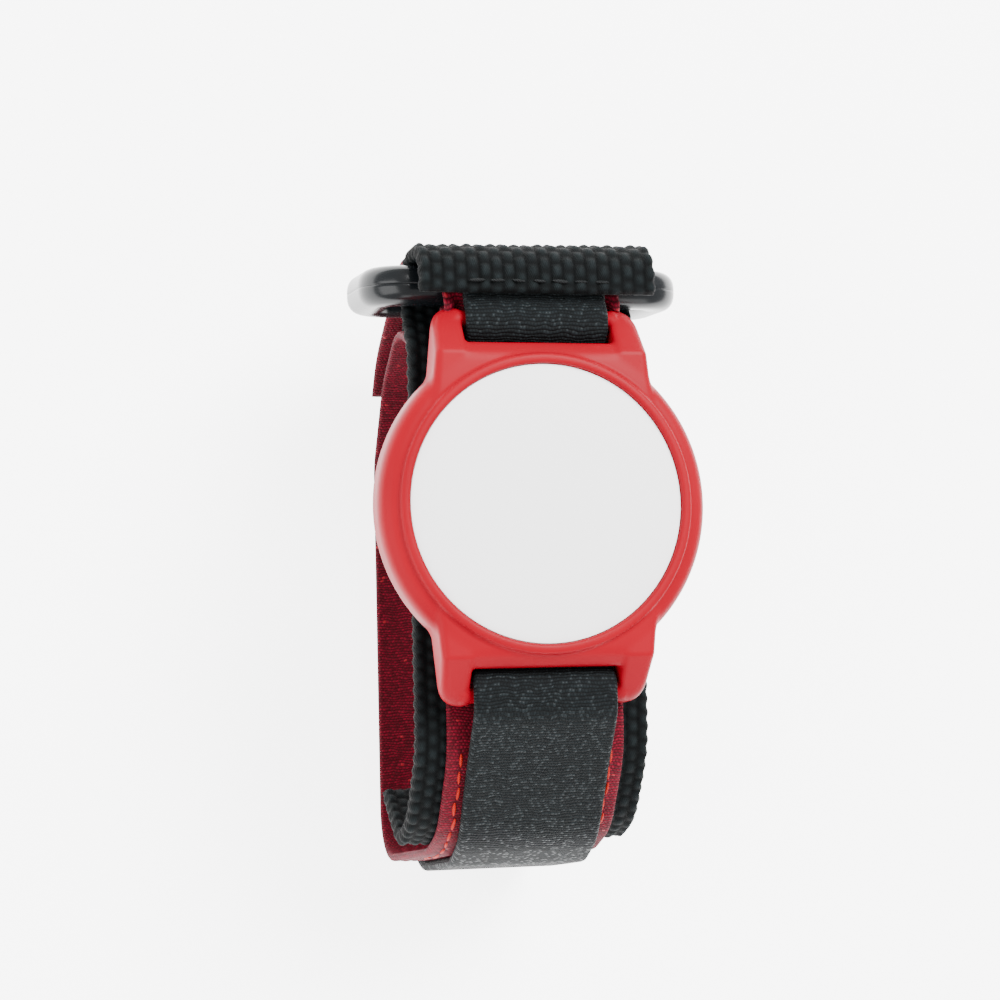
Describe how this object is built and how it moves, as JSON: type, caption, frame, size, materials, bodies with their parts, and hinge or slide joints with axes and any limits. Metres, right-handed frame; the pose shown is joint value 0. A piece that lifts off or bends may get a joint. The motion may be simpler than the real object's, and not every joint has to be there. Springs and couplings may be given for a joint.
{
  "type": "wrist pin holder",
  "caption": "Wrist-worn magnetic pin holder: flat round face in a lugged case on a layered hook-and-loop strap with a rectangular ring.",
  "frame": {"origin": "on the flat back of the strap, straight below the centre of the face", "axes": "+X across the strap, +Y along it towards the ring, +Z out of the face"},
  "size_m": [0.0364, 0.0715, 0.0445],
  "materials": {
    "red_plastic": "satin moulded plastic",
    "white_face": "smooth satin sheet",
    "ferrite": "pressed ferrite",
    "steel": "plated sheet",
    "foam": "closed-cell foam",
    "black_plastic": "glossy moulded plastic",
    "black_tape": "fine ribbed loop tape",
    "red_tape": "fine woven tape",
    "black_webbing": "coarse woven webbing",
    "hook_plastic": "fine moulded hooks",
    "black_thread": "sewing thread",
    "red_thread": "sewing thread"
  },
  "bodies": {
    "holder": {"case_shell": "red_plastic", "case_back": "red_plastic", "face_disc": "white_face", "magnet": "ferrite", "steel_plate": "steel", "foam_disc": "foam", "strap_tape": "black_tape", "lining_tape": "red_tape", "webbing_pad": "black_webbing", "flap_seam": "black_thread", "pad_end_seam": "black_thread", "tape_seam_left": "red_thread", "tape_seam_right": "red_thread"},
    "ring": {"ring": "black_plastic"},
    "tab": {"tab_tape": "black_tape", "tab_lining": "red_tape", "hook_patch": "hook_plastic", "hook_seam_upper": "red_thread", "hook_seam_lower": "red_thread"}
  },
  "joints": [
    {"name": "ring_rock", "type": "hinge", "parent": "holder", "child": "ring", "pos_m": [0, 0.0244, 0.0365], "axis": [1, 0, 0], "range_deg": [-4, 4]},
    {"name": "tab_peel", "type": "hinge", "parent": "holder", "child": "tab", "pos_m": [0, 0.0303, 0.0205], "axis": [1, 0, 0], "range_deg": [0, 80]}
  ]
}
